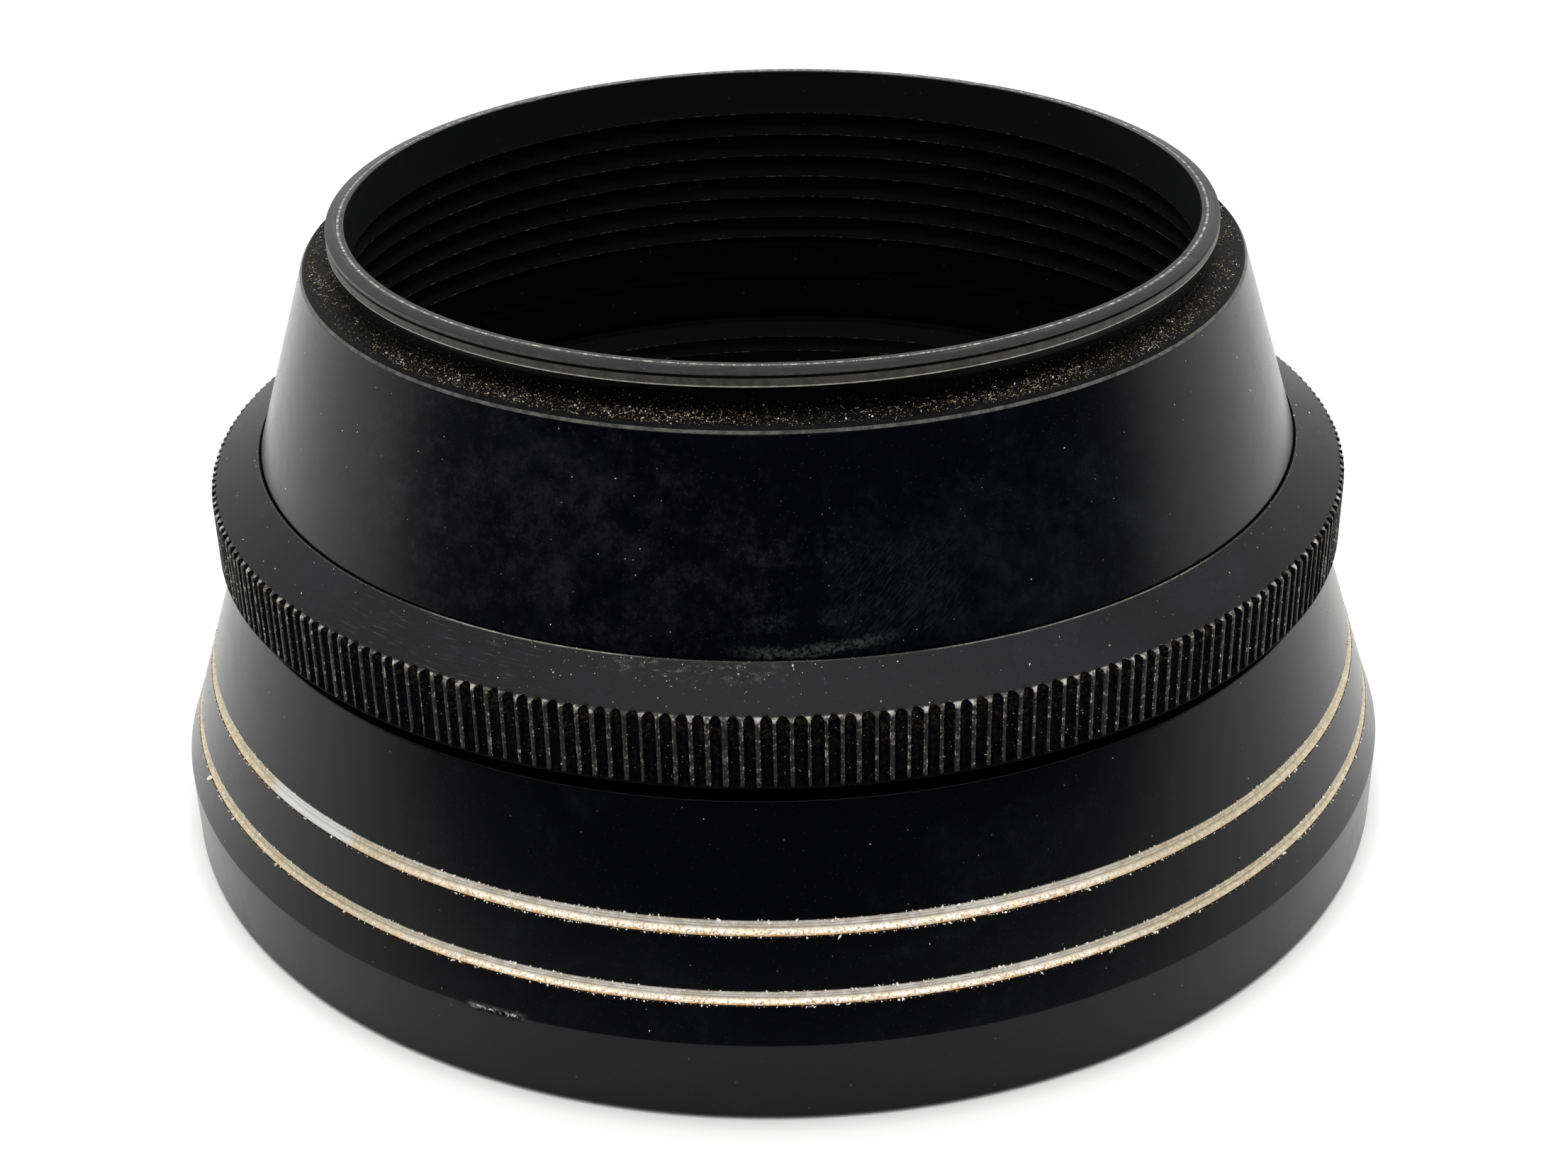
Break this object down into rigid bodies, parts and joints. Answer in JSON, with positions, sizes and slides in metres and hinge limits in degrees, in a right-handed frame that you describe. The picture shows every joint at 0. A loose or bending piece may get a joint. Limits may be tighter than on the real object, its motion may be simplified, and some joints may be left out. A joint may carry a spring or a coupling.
{
  "type": "lens hood",
  "caption": "Turned metal lens hood in separable sections, with a male lens thread, a knurled coupling ring and a flared front shade with bright trim lines.",
  "frame": {"origin": "centre of the front mouth's resting plane, on the optical axis", "axes": "+Z along the optical axis from the front mouth to the lens thread; X and Y are equal by symmetry"},
  "size_m": [0.09, 0.09, 0.0448],
  "materials": {
    "shade_black": "satin black anodised, turned",
    "cone_black": "satin black anodised, turned, matte ridges inside",
    "ring_black": "matte black anodised, straight knurl with worn tips",
    "bright_trim": "bare turned metal with a cream patina and rust-brown specks",
    "spring_wire": "plain drawn spring wire"
  },
  "bodies": {
    "front_section": {"front_shade": "shade_black", "upper_trim_ring": "bright_trim", "lower_trim_ring": "bright_trim"},
    "rear_section": {"rear_cone": "cone_black"},
    "ring": {"coupling_ring": "ring_black", "keeper_wire": "spring_wire"}
  },
  "joints": [
    {"name": "rear_lift", "type": "slide", "parent": "front_section", "child": "rear_section", "axis": [0, 0, 1], "range_m": [0, 0.003]},
    {"name": "ring_turn", "type": "hinge", "parent": "rear_section", "child": "ring", "pos_m": [0, 0, 0.025], "axis": [0, 0, 1], "range_deg": [0, 1440]}
  ],
  "couplings": [
    {"joint": "rear_lift", "follows": "ring_turn", "m_per_rad": 0.00011936}
  ]
}
